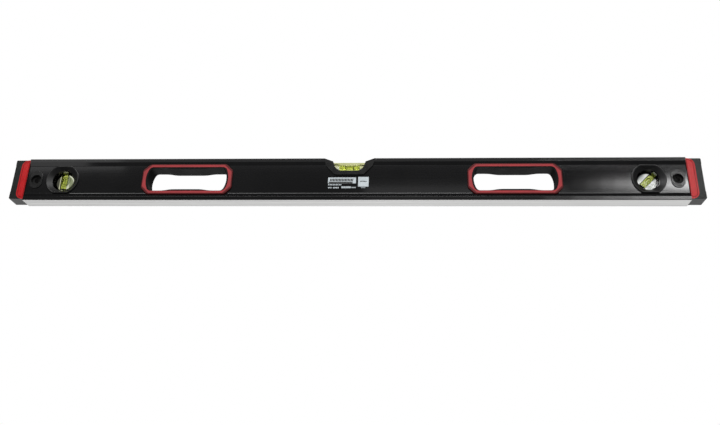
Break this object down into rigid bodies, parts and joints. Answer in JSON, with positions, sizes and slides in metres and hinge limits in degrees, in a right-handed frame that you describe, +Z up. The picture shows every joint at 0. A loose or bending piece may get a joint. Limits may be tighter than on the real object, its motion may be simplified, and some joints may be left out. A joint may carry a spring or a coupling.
{
  "type": "spirit level",
  "caption": "Box-section spirit level with plumb, angled and top vials, hand holds, hanging eyelets and a magnetic measuring face.",
  "frame": {"origin": "middle of the measuring face, which lies in z = 0", "axes": "+X along the level towards the end with the 45 degree vial, -Y out of the labelled front, +Z up from the measuring face to the top edge"},
  "size_m": [1, 0.0242, 0.067],
  "materials": {
    "frame": "satin",
    "cap_rubber": "matte",
    "cap_inlay": "satin",
    "grip_black": "satin",
    "grip_trim": "matte",
    "vial_housing": "satin",
    "vial_block": "polished",
    "vial_fluid": "polished",
    "saddle": "satin",
    "eyelet": "satin",
    "magnet": "satin"
  },
  "bodies": {
    "root": {"frame_profile": "frame", "left_end_cap": "cap_rubber", "left_cap_inlay_front": "cap_inlay", "left_grip_front": "grip_black", "left_grip_trim_front": "grip_trim", "left_eyelet_front": "eyelet", "left_cap_inlay_back": "cap_inlay", "left_grip_back": "grip_black", "left_grip_trim_back": "grip_trim", "left_eyelet_back": "eyelet", "right_end_cap": "cap_rubber", "right_cap_inlay_front": "cap_inlay", "right_grip_front": "grip_black", "right_grip_trim_front": "grip_trim", "right_eyelet_front": "eyelet", "right_cap_inlay_back": "cap_inlay", "right_grip_back": "grip_black", "right_grip_trim_back": "grip_trim", "right_eyelet_back": "eyelet", "plumb_vial_housing_front": "vial_housing", "plumb_vial_housing_back": "vial_housing", "angle_vial_housing_front": "vial_housing", "angle_vial_housing_back": "vial_housing", "plumb_vial_block": "vial_block", "plumb_vial_plug": "vial_block", "plumb_vial_fluid": "vial_fluid", "angle_vial_block": "vial_block", "angle_vial_plug": "vial_block", "angle_vial_fluid": "vial_fluid", "centre_vial_block": "vial_block", "centre_vial_plug": "vial_block", "centre_vial_fluid": "vial_fluid", "centre_vial_saddle": "saddle", "base_magnet_1": "magnet", "base_magnet_2": "magnet", "base_magnet_3": "magnet", "base_magnet_4": "magnet"}
  },
  "joints": []
}
